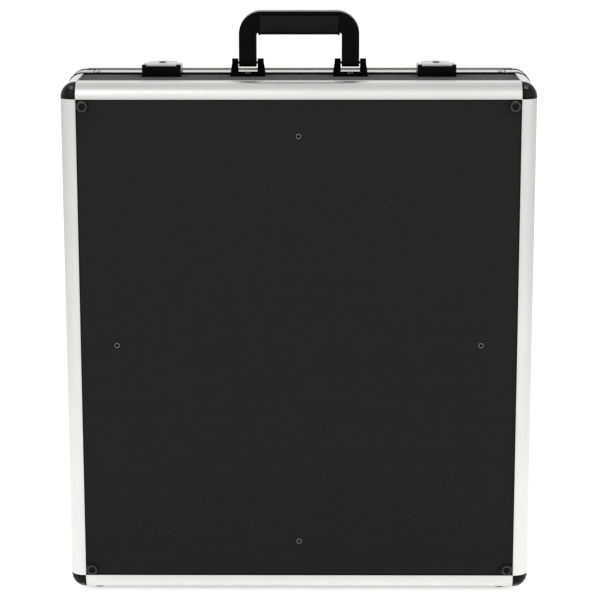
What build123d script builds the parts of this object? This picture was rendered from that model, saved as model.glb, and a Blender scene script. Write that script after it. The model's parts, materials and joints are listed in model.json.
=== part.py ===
"""Aluminium framed carrying case for a mixer, standing upright on its hinge side.

The base is the deep half: its outer face looks towards -Y and carries four rubber feet. The lid is the
shallow half, towards +Y, and swings on two hinges along the bottom. Handle and latches are on top.
X runs across the case, Y through its depth and Z up. The origin is under the standing feet, in the
middle of the whole depth. All sizes are in millimetres.
"""
import os

from build123d import *

os.makedirs("parts", exist_ok=True)

# Driving sizes of the case
case_width = 520.0
case_height = 578.0
base_depth = 113.0
lid_depth = 56.0
seam_gap = 0.4

# Aluminium profiles: skin, inner angle and the bands that show on the face and on the walls
skin = 1.2
corner_radius = 16.0
face_band = 17.5
wall_band = 25.0
inner_leg = 1.4
web = 1.4
base_rim_width = 17.0
lid_rim_width = 15.0
rim_corner_reach = 28.0
tongue_height = 4.0
tongue_thick = 1.6
tongue_inset = 2.2

# Panels, held in slots behind the skins
panel_thick = 4.0
panel_gap = 0.3
slot_play = 0.1
face_slot = 3.0
wall_slot = 6.0

# Rubber feet and their screws
foot_base_radius = 6.5
foot_tip_radius = 5.0
foot_height = 7.5
foot_well_radius = 2.8
foot_floor = 3.5
face_foot_inset = 7.5
standing_foot_from_post = 12.5
standing_foot_from_band = 7.8
foot_screw_head_radius = 2.5
foot_screw_head = 1.8
screw_radius = 1.75
screw_play = 0.05

# Padding and the blocks that hold the mixer
floor_foam = 8.0
wall_foam = 5.0
lid_foam = 12.0
foam_play = 0.3
block_length = 120.0
block_width = 80.0
block_height = 50.0
block_screw_from_side = 58.0
block_screw_from_face = 39.0
side_block_drop = 3.0
block_screw_head_radius = 3.5
block_screw_head = 1.4
block_screw_bite = 20.0

# Handle, brackets and pins
handle_width = 134.0
handle_from_seam = 28.0
handle_top = 71.0
handle_thick = 22.0
bar_height = 24.0
post_width = 19.5
post_foot = 3.7
handle_outer_radius = 25.0
handle_inner_radius = 4.0
handle_edge = 3.0
grip_from_side = 21.7
grip_wrap = 2.4
grip_top_strip = 3.6
handle_pin_height = 13.3
handle_pin_radius = 1.5
bracket_depth = 21.0
bracket_plate = 3.4
lug_thick = 6.8
lug_flare = 1.7
lug_gap = 1.1
lug_top_radius = 4.6
running_play = 0.05
bracket_screw_spacing = 12.6
bracket_screw_head_radius = 3.2

# Latches: housing, lever, claw, lock barrel and keeper
latch_from_side = 106.5
latch_width = 43.0
latch_from_seam = 42.0
housing_length = 41.5
housing_block = 6.5
housing_height = 12.0
housing_floor = 1.6
housing_rail = 3.4
lever_width = 33.0
lever_plate = 1.5
lever_skirt = 1.5
lever_dome = 0.8
lever_front_inset = 0.6
lever_tail = 3.5
lever_rest_gap = 0.3
lever_pivot_from_seam = 4.5
lever_pivot_height = 6.9
lever_round = 4.8
lever_tail_wall = 1.3
lever_pin_radius = 1.5
ear_round = 3.0
ear_thick = 2.2
ear_play = 0.5
claw_pivot_offset = 14.0
claw_leg = 3.5
claw_leg_play = 1.5
claw_leg_low = 4.0
claw_leg_high = 11.0
claw_front_from_seam = 32.5
claw_shoulder_from_seam = 7.0
claw_bar_radius = 1.5
claw_bar_past_seam = 4.2
claw_bar_height = 3.9
keeper_width = 30.0
keeper_plate = 0.8
keeper_depth = 12.0
keeper_lip = 1.2
keeper_past_seam = 1.0
keeper_clear = 0.4
lock_radius = 4.0
lock_rise = 0.7
lock_depth = 6.0
lock_from_seam = 14.5
lock_cam = 7.5
keyhole_radius = 0.9
keyhole_slot = 3.4

# Hinges and rivets
hinge_from_side = 110.0
hinge_length = 60.0
hinge_leaf = 1.0
hinge_leaf_lap = 11.5
knuckle_radius = 2.5
knuckle_drop = 2.8
knuckle_play = 0.3
knuckle_notch = 0.5
hinge_pin_radius = 1.5
hinge_rivet_spacing = 40.0
rivet_radius = 1.6
rivet_head_radius = 2.8
rivet_head = 0.9
rivet_from_seam = 6.0
rivet_bite = 2.4
rim_rivet_from_side = 33.0
latch_rivet_spacing = 18.0
latch_rivet_from_seam = 27.0

# Levels and places worked out from the sizes above
panel_out = skin + panel_gap
panel_in = panel_out + panel_thick
leg_in = panel_in + inner_leg
foot_proud = foot_height - panel_out
half_width = case_width / 2
bottom = foot_proud
top = bottom + case_height
mid_height = (bottom + top) / 2
front = (foot_proud - base_depth - lid_depth) / 2
back = front + base_depth + lid_depth
seam = front + base_depth
panel_side = half_width - face_band + face_slot
panel_low = bottom + face_band - face_slot
panel_high = top - face_band + face_slot
latch_x = half_width - latch_from_side
hinge_x = half_width - hinge_from_side
mid_plane = Plane(origin=(0, 0, mid_height), z_dir=(0, 0, 1))


def block(x, y, z):
    """A box given by its two limits along each axis."""
    middle = ((x[0] + x[1]) / 2, (y[0] + y[1]) / 2, (z[0] + z[1]) / 2)
    return Pos(*middle) * Box(abs(x[1] - x[0]), abs(y[1] - y[0]), abs(z[1] - z[0]))


def rod(start, direction, radius, length):
    """A round bar from a point along a direction."""
    return extrude(Plane(origin=start, z_dir=direction) * Circle(radius), length)


def cone(start, direction, radius, end_radius, length):
    """A round taper from a point along a direction."""
    near = Plane(origin=start, z_dir=direction)
    return loft([near * Circle(radius), near.offset(length) * Circle(end_radius)])


def moved(point, direction, distance):
    """The point a distance along a direction."""
    return tuple(p + d * distance for p, d in zip(point, direction))


def write(name, *pieces):
    """Each piece is written under its own name; a group keeps its separate solids."""
    solids = [solid for piece in pieces for solid in piece.solids()]
    shape = solids[0] if len(solids) == 1 else Compound(children=solids)
    shape.label = name
    export_step(shape, f"parts/{name}.step")


def patch(a, b):
    """A flat rectangle given by its two limits each way."""
    return Pos((a[0] + a[1]) / 2, (b[0] + b[1]) / 2) * Rectangle(a[1] - a[0], b[1] - b[0])


def mirrored(piece):
    """The piece and its copy on the other side, left and right."""
    return [piece, mirror(piece, about=Plane.YZ)]


def flipped(piece):
    """The piece and its copy at the other end, top and bottom."""
    return [piece, mirror(piece, about=mid_plane)]


def four(piece):
    """The piece near the top right corner and its copies near the other three."""
    return [copy for end in flipped(piece) for copy in mirrored(end)]


def without(piece, *tools):
    """The piece with every tool cut out of it."""
    for tool in tools:
        piece -= tool
    return piece


def bent_band(depth, thick, reach_a, reach_b):
    """An angle section that follows the rounded outer corner at a depth below it."""
    far = depth + thick
    points = [(reach_a, depth), (depth, depth), (depth, reach_b), (far, reach_b), (far, far), (reach_a, far)]
    face = make_face(Polyline(*points, close=True))
    face = fillet(face.vertices().sort_by_distance((depth, depth))[0], corner_radius - depth)
    return fillet(face.vertices().sort_by_distance((far, far))[0], corner_radius - far)


def corner_section(reach_b, slot_b):
    """A corner profile: skin, inner angle, and the two webs where the panels' slots end."""
    end_a = face_band - face_slot - slot_play
    end_b = reach_b - slot_b - slot_play
    through = (skin / 2, panel_in + inner_leg / 2)
    return (
        bent_band(0, skin, face_band, reach_b)
        + bent_band(panel_in, inner_leg, face_band, reach_b)
        + patch((end_a - web, end_a), through)
        + patch(through, (end_b - web, end_b))
    )


def rim_section(width, with_tongue):
    """A rim profile: depth below the outer face by distance towards its mouth at the seam."""
    web_start = wall_slot + slot_play
    shape = patch((0, skin), (0, width)) + patch((panel_in, leg_in), (0, width))
    shape += patch((0, leg_in), (web_start, web_start + web))
    if with_tongue:
        shape += patch((0, leg_in), (width - web, width))
        shape += patch((tongue_inset, tongue_inset + tongue_thick), (width - web, width + tongue_height))
    return shape


class Shell:
    """One half of the case; its depth counts inwards from its own outer face."""

    def __init__(self, name, face, inward, depth, rim_width, with_tongue):
        self.name = name
        self.face = face
        self.inward = inward
        self.mouth = depth
        self.rim_start = depth - rim_width
        self.rim = rim_section(rim_width, with_tongue)

    def at(self, depth):
        """The place along Y of a depth."""
        return self.face + self.inward * depth

    def across_top(self, section, start, half_length):
        """A section of depth below the top by depth into the shell, run along X."""
        plane = Plane(origin=(0, self.at(start), top), x_dir=(0, 0, -1), z_dir=(self.inward, 0, 0))
        return extrude(plane * section, half_length, both=True)

    def up_side(self, section, start, half_length):
        """The same on the right wall, run along Z."""
        origin = (half_width, self.at(start), mid_height)
        plane = Plane(origin=origin, x_dir=(-1, 0, 0), z_dir=(0, 0, -self.inward))
        return extrude(plane * section, half_length, both=True)


base = Shell("base", front, 1, base_depth, base_rim_width, True)
lid = Shell("lid", back, -1, lid_depth - seam_gap, lid_rim_width, False)


def write_sides(shell, kind, tops, sides):
    """Top, bottom, left and right lengths; the lid's are kept as two pairs."""
    if shell is base:
        write(f"base_top_{kind}", tops[0])
        write(f"base_bottom_{kind}", tops[1])
        write(f"base_right_{kind}", sides[0])
        write(f"base_left_{kind}", sides[1])
    else:
        write(f"lid_end_{kind}s", *tops)
        write(f"lid_side_{kind}s", *sides)


# Places of screws, feet and rivets, each a point on the outer face and its outward direction
up, down, ahead = (0, 0, 1), (0, 0, -1), (0, -1, 0)
foot_x = half_width - face_band - face_foot_inset
foot_z = mid_height + case_height / 2 - face_band - face_foot_inset
face_foot_places = [
    ((x, front + panel_out, z), ahead) for x in (-foot_x, foot_x) for z in (2 * mid_height - foot_z, foot_z)
]


def standing_places(shell):
    """The two feet on a shell's hinge side."""
    x = half_width - face_band - standing_foot_from_post
    y = shell.at(wall_band + standing_foot_from_band)
    return [((side * x, y, bottom + panel_out), down) for side in (-1, 1)]


block_reach = mid_height - bottom - block_screw_from_side
side_block_z = mid_height - side_block_drop
face_block_places = [
    ((0, front + panel_out, mid_height + block_reach), ahead),
    ((0, front + panel_out, mid_height - block_reach), ahead),
    ((half_width - block_screw_from_side, front + panel_out, side_block_z), ahead),
    ((block_screw_from_side - half_width, front + panel_out, side_block_z), ahead),
]
block_y = front + block_screw_from_face
wall_block_places = [
    ((0, block_y, top - panel_out), up),
    ((0, block_y, bottom + panel_out), down),
    ((half_width - panel_out, block_y, side_block_z), (1, 0, 0)),
    ((panel_out - half_width, block_y, side_block_z), (-1, 0, 0)),
]


def rim_rivet_places(shell):
    """Two rivets near each corner of a shell's rim, one on each of the walls that meet there."""
    y = seam - shell.inward * rivet_from_seam
    x = half_width - rim_rivet_from_side
    z = case_height / 2 - rim_rivet_from_side
    ends = [((s * x, y, mid_height + e * case_height / 2), (0, 0, e)) for s in (-1, 1) for e in (-1, 1)]
    sides = [((s * half_width, y, mid_height + e * z), (s, 0, 0)) for s in (-1, 1) for e in (-1, 1)]
    return ends, sides


def hinge_rivet_places(shell, level):
    """Two rivets in each hinge leaf of a shell."""
    y = seam - shell.inward * rivet_from_seam
    half = hinge_rivet_spacing / 2
    return [((s * hinge_x + e * half, y, level), down) for s in (-1, 1) for e in (-1, 1)]


def latch_places(offset, y, level):
    """A pair of points about the middle of each latch."""
    return [((s * latch_x + e * offset, y, level), up) for s in (-1, 1) for e in (-1, 1)]


def holes(places, radius, depth):
    """Round holes that run inwards from each place, through whatever lies on it as well."""
    return [rod(moved(p, d, depth), tuple(-c for c in d), radius, 2 * depth) for p, d in places]


def rivet(place, direction):
    """A rivet with a domed head."""
    head = cone(place, direction, rivet_head_radius, rivet_radius, rivet_head)
    return head + rod(moved(place, direction, -rivet_bite), direction, rivet_radius, rivet_bite)


def make_foot(place, direction):
    """A tapered rubber foot with a well for its screw."""
    foot = cone(place, direction, foot_base_radius, foot_tip_radius, foot_height)
    floor = moved(place, direction, foot_floor)
    foot -= rod(floor, direction, foot_well_radius, foot_height)
    return foot - rod(place, direction, screw_radius + screw_play, foot_floor)


def foot_screw(place, direction):
    """The screw in a foot: it ends within the panel."""
    reach = foot_floor + panel_thick - slot_play
    floor = moved(place, direction, foot_floor)
    shank = rod(moved(floor, direction, -reach), direction, screw_radius, reach)
    return shank + rod(floor, direction, foot_screw_head_radius, foot_screw_head)


def block_screw(place, direction, padding):
    """A screw through a panel and its foam into a retaining block."""
    reach = panel_thick + padding + block_screw_bite
    shank = rod(moved(place, direction, -reach), direction, screw_radius, reach)
    return shank + rod(place, direction, block_screw_head_radius, block_screw_head)


screw_hole = screw_radius + screw_play
rivet_hole = rivet_radius + screw_play
through_panel = 2 * panel_thick


def make_ball_corner(shell):
    """A corner cap: a cube rounded on its three outer edges, so that its corner is part of a ball."""
    x = (half_width - face_band, half_width)
    z = (top - face_band, top)
    y = (shell.at(0), shell.at(face_band))
    cube = block(x, y, z)
    outer_edges = cube.edges().sort_by_distance((half_width, shell.at(0), top))[:3]
    return fillet(outer_edges, corner_radius)


def make_rim_corner(shell):
    """A rounded length of rim that joins two straight ones."""
    turn = Axis((half_width - corner_radius, 0, top - corner_radius), (0, 1, 0))
    start = (half_width - corner_radius, shell.at(shell.rim_start), top)
    plane = Plane(origin=start, x_dir=(0, 0, -1), z_dir=(shell.inward, 0, 0))
    section = plane * shell.rim
    arm = rim_corner_reach - corner_radius
    bend = revolve(section, turn, 90)
    straight = extrude(section, arm, dir=(-1, 0, 0))
    side_start = (half_width, shell.at(shell.rim_start), top - corner_radius)
    side_plane = Plane(origin=side_start, x_dir=(-1, 0, 0), z_dir=(0, 0, -shell.inward))
    return bend + straight + extrude(side_plane * shell.rim, arm, dir=(0, 0, -1))


def write_frame(shell):
    """Corner profiles, posts, ball corners, rims and rim corners of one shell."""
    edge = corner_section(wall_band, wall_slot)
    half_top = half_width - face_band
    half_side = case_height / 2 - face_band
    write_sides(
        shell, "edge",
        flipped(shell.across_top(edge, 0, half_top)),
        mirrored(shell.up_side(edge, 0, half_side)),
    )
    post_middle = (shell.rim_start + face_band) / 2
    plane = Plane(origin=(half_width, shell.at(post_middle), top), x_dir=(-1, 0, 0), z_dir=(0, -1, 0))
    post = extrude(plane * corner_section(face_band, face_slot), (shell.rim_start - face_band) / 2, both=True)
    write(f"{shell.name}_corner_posts", *four(post))
    write(f"{shell.name}_ball_corners", *four(make_ball_corner(shell)))
    ends, sides = rim_rivet_places(shell)
    pierce = holes(ends + sides + hinge_rivet_places(shell, bottom), rivet_hole, rivet_bite)
    if shell is lid:
        keeper_rivets = latch_places(latch_rivet_spacing / 2, seam + rivet_from_seam, top)
        pierce += holes(keeper_rivets, rivet_hole, rivet_bite)
    rims = flipped(shell.across_top(shell.rim, shell.rim_start, half_width - rim_corner_reach))
    side_rims = mirrored(shell.up_side(shell.rim, shell.rim_start, case_height / 2 - rim_corner_reach))
    write_sides(shell, "rim", [without(r, *pierce) for r in rims], [without(r, *pierce) for r in side_rims])
    write(f"{shell.name}_rim_corners", *four(make_rim_corner(shell)))


def write_panels(shell, face_holes, wall_holes):
    """The face panel and the four wall panels of one shell."""
    depth = (shell.at(panel_out), shell.at(panel_in))
    face = block((-panel_side, panel_side), depth, (panel_low, panel_high))
    notch = face_band + slot_play
    corner = block((half_width - notch, half_width), (shell.at(0), shell.at(face_band)), (top - notch, top))
    write(f"{shell.name}_face_panel", without(face, *four(corner), *face_holes))
    run = (shell.at(wall_band - wall_slot), shell.at(shell.rim_start + wall_slot))
    top_wall = block((-panel_side, panel_side), run, (top - panel_in, top - panel_out))
    side_wall = block((half_width - panel_in, half_width - panel_out), run, (panel_low, panel_high))
    write_sides(
        shell, "wall",
        [without(w, *wall_holes) for w in flipped(top_wall)],
        [without(w, *wall_holes) for w in mirrored(side_wall)],
    )


def write_feet():
    """Feet on the base's face and on the hinge side of both shells, with their screws."""
    write("face_feet", *[make_foot(p, d) for p, d in face_foot_places])
    write("face_foot_screws", *[foot_screw(p, d) for p, d in face_foot_places])
    for shell in (base, lid):
        places = standing_places(shell)
        write(f"{shell.name}_standing_feet", *[make_foot(p, d) for p, d in places])
        write(f"{shell.name}_foot_screws", *[foot_screw(p, d) for p, d in places])


def write_padding():
    """Foam on the floor, the walls and in the lid, and the four blocks that hold the mixer."""
    foam_x = half_width - face_band - foam_play
    foam_z = case_height / 2 - face_band - foam_play
    z = (mid_height - foam_z, mid_height + foam_z)
    pierce = holes(face_block_places, screw_hole, panel_thick + floor_foam + panel_out)
    floor = block((-foam_x, foam_x), (base.at(panel_in), base.at(panel_in + floor_foam)), z)
    write("base_floor_foam", without(floor, *pierce))
    write("lid_foam", block((-foam_x, foam_x), (lid.at(panel_in), lid.at(panel_in + lid_foam)), z))
    run = (base.at(wall_band + foam_play), base.at(base.rim_start - foam_play))
    pierce = holes(wall_block_places, screw_hole, panel_thick + wall_foam + panel_out)
    top_foam = block((-foam_x, foam_x), run, (top - panel_in - wall_foam, top - panel_in))
    side_foam = block((half_width - panel_in - wall_foam, half_width - panel_in), run, z)
    foams = flipped(top_foam) + mirrored(side_foam)
    write("base_wall_foam", *[without(f, *pierce) for f in foams])

    wall = panel_in + wall_foam
    rise = (base.at(panel_in + floor_foam), base.at(panel_in + floor_foam + block_height))
    half = block_length / 2
    top_block = block((-half, half), rise, (top - wall - block_width, top - wall))
    x = (half_width - wall - block_width, half_width - wall)
    side_block = block(x, rise, (side_block_z - half, side_block_z + half))
    bite = block_screw_bite + wall + floor_foam
    pierce = holes(face_block_places, screw_hole, bite) + holes(wall_block_places, screw_hole, bite)
    blocks = flipped(top_block) + mirrored(side_block)
    write("retaining_blocks", *[without(b, *pierce) for b in blocks])
    face_screws = [block_screw(p, d, floor_foam) for p, d in face_block_places]
    wall_screws = [block_screw(p, d, wall_foam) for p, d in wall_block_places]
    write("block_screws", *face_screws, *wall_screws)


handle_y = seam - handle_from_seam
post_x = (handle_width - post_width) / 2
pin_z = top + handle_pin_height
lug_inner = post_width / 2 + lug_gap
lug_outer = lug_inner + lug_thick
bracket_screw_places = [
    ((s * post_x, handle_y + e * bracket_screw_spacing / 2, top - panel_out + bracket_plate), up)
    for s in (-1, 1) for e in (-1, 1)
]


def pin_rod(centre, radius, half_length):
    """A bar along X through a point."""
    return rod((centre[0] - half_length, centre[1], centre[2]), (1, 0, 0), radius, 2 * half_length)


def make_handle():
    """The handle's frame and the grip that wraps its bar on the front, the back and below."""
    low = pin_z - post_foot
    high = top + handle_top
    plane = Plane(origin=(0, handle_y, 0), x_dir=(1, 0, 0), z_dir=(0, -1, 0))
    outer = patch((-handle_width / 2, handle_width / 2), (low, high))
    outer = fillet(outer.vertices().group_by(Axis.Y)[-1], handle_outer_radius)
    reach = handle_width / 2 - post_width
    opening = patch((-reach, reach), (low - bar_height, high - bar_height))
    opening = fillet(opening.vertices().group_by(Axis.Y)[-1], handle_inner_radius)
    frame = extrude(plane * (outer - opening), handle_thick / 2, both=True)
    by_depth = frame.faces().sort_by(Axis.Y)
    rims = [e for face in (by_depth[0], by_depth[-1]) for e in face.edges()]
    frame = fillet(rims, handle_edge)
    half = handle_thick / 2
    grip_half = handle_width / 2 - grip_from_side
    room = block((-grip_half, grip_half), (handle_y - half, handle_y + half), (low, high - grip_top_strip))
    core_half = half - grip_wrap
    core = block(
        (-grip_half, grip_half),
        (handle_y - core_half, handle_y + core_half),
        (high - bar_height + grip_wrap, high),
    )
    grip = (frame & room) - core
    frame -= grip
    for side in (-1, 1):
        frame -= pin_rod((side * post_x, handle_y, pin_z), handle_pin_radius + running_play, post_width)
    return frame, grip


def make_bracket():
    """The right bracket: a plate screwed to the top wall and two lugs that carry the pin."""
    plate_low = top - panel_out
    plate_high = plate_low + bracket_plate
    half_depth = bracket_depth / 2
    half = lug_outer + lug_flare
    run = (handle_y - half_depth, handle_y + half_depth)
    plate = block((post_x - half, post_x + half), run, (plate_low, plate_high))
    plane = Plane(origin=(post_x, handle_y, pin_z), x_dir=(0, 1, 0), z_dir=(1, 0, 0))
    drop = plate_high - pin_z
    outline = [(-half_depth, drop), (half_depth, drop), (lug_top_radius, 0), (-lug_top_radius, 0)]
    lug = make_face(Polyline(*outline, close=True)) + Circle(lug_top_radius)
    lug = extrude(plane.offset(lug_inner) * lug, lug_thick)
    flare_plane = Plane(origin=(post_x, handle_y, pin_z), x_dir=(1, 0, 0), z_dir=(0, -1, 0))
    wedge = [(lug_outer - slot_play, drop), (lug_outer + lug_flare, drop), (lug_outer - slot_play, 0)]
    flare = extrude(flare_plane * make_face(Polyline(*wedge, close=True)), half_depth - lug_flare, both=True)
    right_lug = lug + flare
    bracket = plate + right_lug + mirror(right_lug, about=Plane(origin=(post_x, 0, 0), z_dir=(1, 0, 0)))
    bracket -= pin_rod((post_x, handle_y, pin_z), handle_pin_radius, lug_outer + lug_flare)
    for place, direction in bracket_screw_places:
        sink = moved(place, direction, -bracket_plate)
        bracket -= cone(sink, direction, screw_hole, bracket_screw_head_radius + screw_play, bracket_plate)
    return bracket


def bracket_screw(place, direction):
    """A countersunk screw, flush with the bracket's plate."""
    sink = moved(place, direction, -bracket_plate)
    head = cone(sink, direction, screw_radius, bracket_screw_head_radius, bracket_plate)
    reach = panel_thick - slot_play
    return head + rod(moved(sink, direction, -reach), direction, screw_radius, reach)


def write_handle():
    """Handle, grip, brackets, pins and bracket screws."""
    frame, grip = make_handle()
    write("handle_frame", frame)
    write("handle_grip", grip)
    right, left = mirrored(make_bracket())
    write("handle_bracket_right", right)
    write("handle_bracket_left", left)
    pins = [pin_rod((side * post_x, handle_y, pin_z), handle_pin_radius, lug_outer) for side in (-1, 1)]
    write("handle_pins", *pins)
    write("bracket_screws", *[bracket_screw(p, d) for p, d in bracket_screw_places])


pivot = (0, seam - lever_pivot_from_seam, top + lever_pivot_height)
claw_pivot = (0, pivot[1] - claw_pivot_offset, pivot[2])
lever_side = top + lever_pivot_height + lever_round
lever_under = lever_side - lever_plate
lever_crown = lever_side + lever_dome
lock_centre = (0, seam - lock_from_seam, lever_crown + lock_rise)
side_view = Plane(origin=(0, 0, 0), x_dir=(0, 1, 0), z_dir=(1, 0, 0))


def outline_at(plane, points):
    """A face through points given as place along Y and height."""
    return plane * make_face(Polyline(*points, close=True))


def make_housing():
    """The latch's black housing: floor, front block and the two ears that carry the lever's pin."""
    half = latch_width / 2
    y0 = seam - latch_from_seam
    y1 = base.at(base.rim_start - slot_play)
    y2 = y0 + housing_length
    floor_top = top + housing_floor
    housing = block((-half, half), (y0, y1), (top - panel_out, top))
    housing += block((-half, half), (y0, y2), (top, floor_top))
    cheek = lever_width / 2 + ear_play
    front_block = (y0, y0 + housing_block)
    housing += block((-half, half), front_block, (floor_top, lever_under - lever_rest_gap))
    for x in ((-half, -cheek), (cheek, half)):
        housing += block(x, front_block, (floor_top, top + housing_height))
        housing += block(x, (y0, y2), (floor_top, top + housing_rail))
    ear_outer = lever_width / 2 - lever_skirt - ear_play
    stem = pivot[1] - ear_play
    foot = (stem - 2 * lever_round, floor_top)
    points = [foot, (stem, floor_top), (stem, pivot[2]), (stem - ear_round, pivot[2])]
    ear = outline_at(side_view, points) + side_view * Pos(pivot[1], pivot[2]) * Circle(ear_round)
    for x in (ear_outer - ear_thick, -ear_outer):
        housing += Pos(x, 0, 0) * extrude(ear, ear_thick)
    return housing - pin_rod(pivot, lever_pin_radius, ear_outer)


def make_lever():
    """The chrome lever: a domed plate on two skirts that swing on the pin at its tail."""
    half = lever_width / 2
    front_y = seam - latch_from_seam + lever_front_inset
    tail_y = pivot[1] + lever_tail
    plane = Plane(origin=(0, (front_y + tail_y) / 2, 0), x_dir=(1, 0, 0), z_dir=(0, -1, 0))
    dome = ThreePointArc((-half, lever_side), (0, lever_crown), (half, lever_side))
    lower = Polyline((half, lever_side), (half, lever_under), (-half, lever_under), (-half, lever_side))
    lever = extrude(plane * make_face(dome + lower), (tail_y - front_y) / 2, both=True)
    block_back = seam - latch_from_seam + housing_block + ear_play
    below = claw_pivot[2] - 2 * claw_bar_radius
    points = [
        (block_back, lever_under), (block_back, lever_under - lever_plate),
        (claw_pivot[1] - lever_round, below), (pivot[1], pivot[2] - lever_round),
        (pivot[1], lever_side), (front_y, lever_side), (front_y, lever_under),
    ]
    skirt = outline_at(side_view, points) + side_view * Pos(pivot[1], pivot[2]) * Circle(lever_round)
    for x in (half - lever_skirt, -half):
        lever += Pos(x, 0, 0) * extrude(skirt, lever_skirt)
    ring = side_view * Pos(pivot[1], pivot[2]) * (Circle(lever_round) - Circle(lever_round - lever_tail_wall))
    tail = extrude(ring, half, both=True)
    lever += tail & block((-half, half), (pivot[1], tail_y + lever_round), (pivot[2], lever_side))
    lever -= pin_rod(pivot, lever_pin_radius + running_play, half)
    lever -= pin_rod(claw_pivot, claw_bar_radius + running_play, half)
    return lever - rod(lock_centre, down, lock_radius + running_play, lock_rise + lock_depth)


def make_claw():
    """The claw: two legs outside the lever, joined by a bar that lies behind the keeper's lip."""
    inner = lever_width / 2 + claw_leg_play
    bar_y = seam + claw_bar_past_seam
    bar_z = top + claw_bar_height
    low, high = top + claw_leg_low, top + claw_leg_high
    front_y = seam - claw_front_from_seam
    points = [
        (front_y, low + claw_bar_radius), (front_y + claw_bar_radius, low), (pivot[1] + lever_tail, low),
        (bar_y, bar_z - claw_bar_radius), (bar_y, bar_z + claw_bar_radius),
        (seam - claw_shoulder_from_seam, high), (front_y + claw_bar_radius, high),
        (front_y, high - claw_bar_radius),
    ]
    leg = outline_at(side_view, points) + side_view * Pos(bar_y, bar_z) * Circle(claw_bar_radius)
    claw = pin_rod((0, bar_y, bar_z), claw_bar_radius, inner + claw_leg)
    for x in (inner, -inner - claw_leg):
        claw += Pos(x, 0, 0) * extrude(leg, claw_leg)
    stub_reach = inner + claw_leg
    stub = pin_rod(claw_pivot, claw_bar_radius, stub_reach)
    skirt_inner = lever_width / 2 - lever_skirt
    run = (claw_pivot[1] - lever_round, claw_pivot[1] + lever_round)
    room = block((-skirt_inner, skirt_inner), run, (low, high))
    return claw + (stub - room)


def make_lock():
    """The lock barrel with its keyhole and the cam on its inner end."""
    barrel = rod(lock_centre, down, lock_radius, lock_rise + lock_depth)
    hole = rod(lock_centre, down, keyhole_radius, lock_rise + lock_depth / 2)
    y, z = lock_centre[1], lock_centre[2]
    slot = block((-keyhole_radius / 2, keyhole_radius / 2), (y - keyhole_slot, y), (z - lock_depth / 2, z))
    low = lever_crown - lock_depth
    cam = block((0, lock_cam), (y - lock_radius / 2, y + lock_radius / 2), (low - lever_plate, low))
    return barrel - hole - slot + cam


def make_keeper():
    """The keeper on the lid's rim, with the lip that the claw's bar lies behind."""
    half = keeper_width / 2
    near = seam + keeper_past_seam
    lip_top = top + claw_bar_height - claw_bar_radius - keeper_clear
    plate = block((-half, half), (near, near + keeper_depth), (top, top + keeper_plate))
    return plate + block((-half, half), (near, near + keeper_lip), (top, lip_top))


def write_latches():
    """Both latches; the right one is the left one moved across."""
    shifts = {"left": Pos(-latch_x, 0, 0), "right": Pos(latch_x, 0, 0)}
    fixings = latch_places(latch_rivet_spacing / 2, seam - latch_rivet_from_seam, top + housing_floor)
    keeper_fixings = latch_places(latch_rivet_spacing / 2, seam + rivet_from_seam, top + keeper_plate)
    pierce = holes(fixings, rivet_hole, panel_thick)
    keepers, pins = [], []
    for side, shift in shifts.items():
        write(f"{side}_latch_housing", without(shift * make_housing(), *pierce))
        write(f"{side}_lever", shift * make_lever())
        write(f"{side}_claw", shift * make_claw())
        write(f"{side}_lock_barrel", shift * make_lock())
        keepers.append(without(shift * make_keeper(), *holes(keeper_fixings, rivet_hole, rivet_bite)))
        pins.append(shift * pin_rod(pivot, lever_pin_radius, lever_width / 2))
    write("latch_keepers", *keepers)
    write("latch_lever_pins", *pins)
    return fixings, keeper_fixings


hinge_axis = (0, seam + seam_gap / 2, bottom - knuckle_drop)


def make_leaf(shell, spans, other_spans):
    """One hinge leaf: a plate on the rim with the knuckles that belong to it."""
    half = hinge_length / 2
    y = hinge_axis[1]
    reach = y - shell.inward * hinge_leaf_lap
    leaf = block((-half, half), (y, reach), (bottom - hinge_leaf, bottom))
    for low, high in other_spans:
        centre = ((low + high) / 2, y, hinge_axis[2])
        leaf -= pin_rod(centre, knuckle_radius + knuckle_notch, (high - low) / 2 + 2 * knuckle_play)
    for low, high in spans:
        centre = ((low + high) / 2, y, hinge_axis[2])
        leaf += pin_rod(centre, knuckle_radius, (high - low) / 2)
    play = running_play if shell is lid else 0
    return leaf - pin_rod(hinge_axis, hinge_pin_radius + play, half)


def write_hinges():
    """Two hinges: the base's leaves have two knuckles each, the lid's leaves one between them."""
    half = hinge_length / 2
    third = hinge_length / 6
    outer = [(-half, -third - knuckle_play), (third + knuckle_play, half)]
    inner = [(-third, third)]
    for shell, own, other in ((base, outer, inner), (lid, inner, outer)):
        pierce = holes(hinge_rivet_places(shell, bottom - hinge_leaf), rivet_hole, rivet_bite)
        leaf = Pos(hinge_x, 0, 0) * make_leaf(shell, own, other)
        write(f"{shell.name}_hinge_leaves", *[without(one, *pierce) for one in mirrored(leaf)])
    pin = Pos(hinge_x, 0, 0) * pin_rod(hinge_axis, hinge_pin_radius, half)
    write("hinge_pins", *mirrored(pin))


def write_rivets(fixings, keeper_fixings):
    """All rivets of the base and of the lid."""
    latch_bite = panel_thick + panel_out + housing_floor - slot_play
    extra = {"base": [], "lid": [rivet(p, d) for p, d in keeper_fixings]}
    for place, direction in fixings:
        tail = rod(moved(place, direction, -latch_bite), direction, rivet_radius, latch_bite)
        extra["base"].append(rivet(place, direction) + tail)
    for shell in (base, lid):
        ends, sides = rim_rivet_places(shell)
        places = ends + sides + hinge_rivet_places(shell, bottom - hinge_leaf)
        write(f"{shell.name}_rivets", *[rivet(p, d) for p, d in places], *extra[shell.name])


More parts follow.
